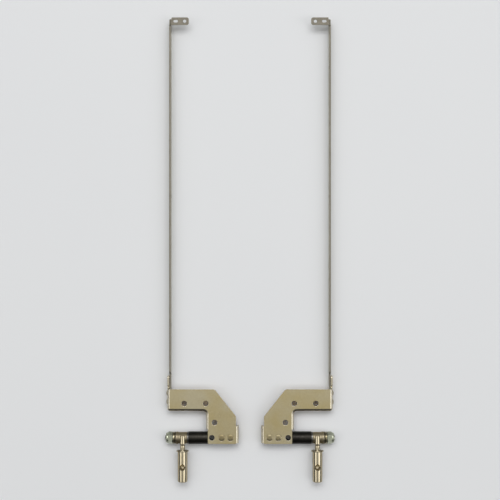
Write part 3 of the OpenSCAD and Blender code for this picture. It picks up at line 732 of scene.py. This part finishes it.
# swivel post: head round the shaft, column in front of it, groove, neck, collar and drilled body
# each y is counted from the shaft towards the post's tip, and rise is the other way
post = {
    "x": 37.15, "z": 5.5, "headX": 34.75, "headEnd": 41.09, "head": 3.15, "rim": 3.35, "rimW": 1.4,
    "bore": 2.05, "boreEase": 0.15, "column": 1.6, "rise": 1.6, "neck": 1.35,
    "grooveY": 3.55, "groove": 1.0, "grooveHalf": 0.27, "collarY": 6.7, "collar": 3.4, "collarT": 0.6,
    "body": 2.7, "tipY": 18.65, "tip": 2.65, "end": 24.1, "chamfer": 0.45,
    "holeY": 15.8, "hole": 1.05, "holeDepth": 4.2, "flare": 0.9, "holeSteps": 72, "holeLow": 3,
    "holeShade": 0.25, "headDarker": 0.5, "holeSkin": 0.02, "skin": 0.03, "endBand": 0.3, "smooth": 30
}
postMiddle = at(post["x"], 0, post["z"])
holeMiddle = at(post["x"], -post["holeY"], post["z"])


def postHead():
    x0, x1, rimX = post["headX"], post["headEnd"], post["headEnd"] - post["rimW"]
    head, rim = post["head"], post["rim"]
    return turned("head", [
        (x0, 0), (x0, head - 0.22), (x0 + 0.06, head - 0.08), (x0 + 0.2, head),
        (rimX - 0.28, head), (rimX - 0.14, head + 0.05), (rimX - 0.02, rim - 0.04), (rimX + 0.1, rim),
        (x1 - 0.3, rim), (x1 - 0.16, rim - 0.04), (x1 - 0.05, rim - 0.13), (x1, rim - 0.28), (x1, 0)
    ], "x", onAxis)


def postStem():
    # the close pairs of points hold the long faces straight beside each rounding
    column, groove, neck, collar = post["column"], post["groove"], post["neck"], post["collar"]
    body, tip, end, chamfer = post["body"], post["tip"], post["end"], post["chamfer"]
    low, high = post["grooveY"] - post["grooveHalf"], post["grooveY"] + post["grooveHalf"]
    top, collarTop, collarLow = -post["rise"], post["collarY"], post["collarY"] + post["collarT"]
    stem = [
        (top, 0), (top, column - 0.25), (top + 0.08, column - 0.08),
        (top + 0.25, column), (top + 0.32, column),
        (low - 0.19, column), (low - 0.12, column), (low - 0.03, column - 0.04), (low, column - 0.12),
        (low, groove + 0.1), (low + 0.08, groove), (high - 0.08, groove), (high, groove + 0.1),
        (high, neck - 0.1), (high + 0.1, neck), (high + 0.17, neck),
        (collarTop - 0.2, neck), (collarTop - 0.06, neck + 0.06), (collarTop, neck + 0.2),
        (collarTop, collar - 0.2), (collarTop + 0.06, collar - 0.06), (collarTop + 0.2, collar),
        (collarLow - 0.2, collar), (collarLow - 0.06, collar - 0.06), (collarLow, collar - 0.2),
        (collarLow, body + 0.08), (collarLow + 0.03, body + 0.03), (collarLow + 0.08, body),
        (post["tipY"], body), (end - chamfer - 0.04, tip), (end - chamfer + 0.02, tip - 0.03),
        (end - 0.08, tip - chamfer + 0.04), (end, tip - chamfer - 0.06), (end, 0)
    ]
    return turned("stem", [(-a, r) for a, r in stem], "y", postMiddle)


def postBore():
    x0, x1, bore, ease = post["headX"], post["headEnd"], post["bore"], post["boreEase"]
    return turned("journalBore", [
        (x0 - 1, 0), (x0 - 1, bore + ease), (x0, bore + ease), (x0 + ease, bore),
        (x1 - ease, bore), (x1, bore + ease), (x1 + 1, bore + ease), (x1 + 1, 0)
    ], "x", onAxis)


def crossHole():  # a blind drilling with a flared mouth, from above
    r, body, deep, wide = post["hole"], post["body"], post["holeDepth"], post["flare"]
    return turned("crossHole", [
        (body - deep, 0), (body - deep + 0.45, r), (body - wide - 0.04, r), (body - wide + 0.04, r + 0.05),
        (body - 0.05, r + wide - 0.05), (body + 0.05, r + wide + 0.12),
        (body + 1, r + wide + 1.4), (body + 1, 0)
    ], "z", holeMiddle, post["holeSteps"])


def postShadeAndDarkening(n, c):  # painted shade darkens the drilled hole and the groove; the head and the column's top are darker and rougher
    fromShaft = math.hypot(c.y - shaftY, c.z - shaftZ)
    fromStem = math.hypot(c.x - post["x"], c.z - post["z"])
    flareLow = post["z"] + post["body"] - post["flare"]
    inHole = (c - holeMiddle / mm).xy.length < post["hole"] + post["holeSkin"]
    if inHole and post["holeLow"] < c.z < flareLow:
        return post["holeShade"]
    if abs(shaftY - post["grooveY"] - c.y) < post["grooveHalf"] and fromStem < post["neck"]:
        return 1
    onHead = fromShaft < post["rim"] + post["skin"] and fromStem > post["column"] + post["skin"]
    return post["headDarker"] if onHead or c.y > shaftY + post["rise"] - post["endBand"] else 0


postPiece = postHead()
cut(postPiece, postStem(), "UNION")
cut(postPiece, postBore())
cut(postPiece, crossHole())
smoothTo(postPiece, post["smooth"])
# painted shade in the post's hole and groove; the head and the column's top darker and rougher
paint(postPiece, "bareAndShade", postShadeAndDarkening)
dress(postPiece, "base_post", postNickel, "post")
print("posts made")

# pale table under the pair
tableLook = {
    "size": 3.0, "cuts": 8, "pale": shade(236, 238, 240), "paleTwo": shade(233, 235, 238), "cloud": 6,
    "rough": 0.7, "specular": 0.2
}


def paleTable():
    bpy.ops.mesh.primitive_plane_add(size=tableLook["size"], location=(0, 0, 0))
    table = bpy.context.object
    table.name = "table_top"
    bpy.ops.object.mode_set(mode="EDIT")
    bpy.ops.mesh.select_all(action="SELECT")
    bpy.ops.mesh.subdivide(number_cuts=tableLook["cuts"])
    bpy.ops.object.mode_set(mode="OBJECT")
    finish = bpy.data.materials.new("table_pale")
    finish.use_nodes = True
    tree = finish.node_tree
    surface = tree.nodes["Principled BSDF"]
    surface.inputs["Roughness"].default_value = tableLook["rough"]
    surface.inputs["Specular IOR Level"].default_value = tableLook["specular"]
    place = tree.nodes.new("ShaderNodeTexCoord")
    cloud = tree.nodes.new("ShaderNodeTexNoise")
    cloud.inputs["Scale"].default_value = tableLook["cloud"]
    tree.links.new(place.outputs["Object"], cloud.inputs["Vector"])
    tint = mixColours(tree, cloud.outputs["Fac"], tableLook["pale"], tableLook["paleTwo"])
    tree.links.new(tint, surface.inputs["Base Color"])
    table.data.materials.append(finish)


paleTable()

# a soft key high beyond the tabs, and two long softboxes beside the camera whose light the posts mirror
lamps = {
    "key": {"place": (0, 1.25, 2.2), "size": (2.2, 1.2), "power": 30},
    "left": {"place": (-2.0, -0.52, 2.0), "size": (1.9, 0.7), "power": 5.9},
    "right": {"place": (2.7, -0.57, 2.0), "size": (3.6, 0.85), "power": 15.5}
}
for side, lamp in lamps.items():
    bpy.ops.object.light_add(type="AREA", location=lamp["place"])
    box = bpy.context.object
    box.name = "softbox_" + side
    box.data.shape = "RECTANGLE"
    box.data.size, box.data.size_y = lamp["size"]
    box.data.energy = lamp["power"]

# a plain room: pale ceiling, grey walls, dark on the posts' side and light on the tabs' side
roomLook = {
    "walls": (0.18, 0.18, 0.18, 1), "ceiling": (0.70, 0.69, 0.67, 1), "ceilingEnds": (0.3, 0.75),
    "postSide": 0.15, "tabSide": 1.1, "sideEnds": (-0.42, -0.05)
}


def plainRoom():
    room = bpy.data.worlds.new("room")
    bpy.context.scene.world = room
    room.use_nodes = True
    tree = room.node_tree
    heading = tree.nodes.new("ShaderNodeTexCoord")
    parts = tree.nodes.new("ShaderNodeSeparateXYZ")
    tree.links.new(heading.outputs["Generated"], parts.inputs["Vector"])
    upward = remap(tree, parts.outputs["Z"], roomLook["ceilingEnds"], 0, 1, "SMOOTHSTEP")
    dim, bright = roomLook["postSide"], roomLook["tabSide"]
    light = remap(tree, parts.outputs["Y"], roomLook["sideEnds"], dim, bright, "SMOOTHSTEP")
    background = tree.nodes["Background"]
    tint = mixColours(tree, upward, roomLook["walls"], roomLook["ceiling"])
    tree.links.new(tint, background.inputs["Color"])
    tree.links.new(light, background.inputs["Strength"])


plainRoom()

view = {"place": (0, -0.000075, 0.656), "lens": 85, "sensor": 36, "near": 0.01}  # straight above the pair
bpy.ops.object.camera_add(location=view["place"])
camera = bpy.context.object
camera.data.lens = view["lens"]
camera.data.sensor_width = view["sensor"]
camera.data.clip_start = view["near"]
bpy.context.scene.camera = camera
bpy.context.scene.view_settings.view_transform = "Standard"
print("stage set")
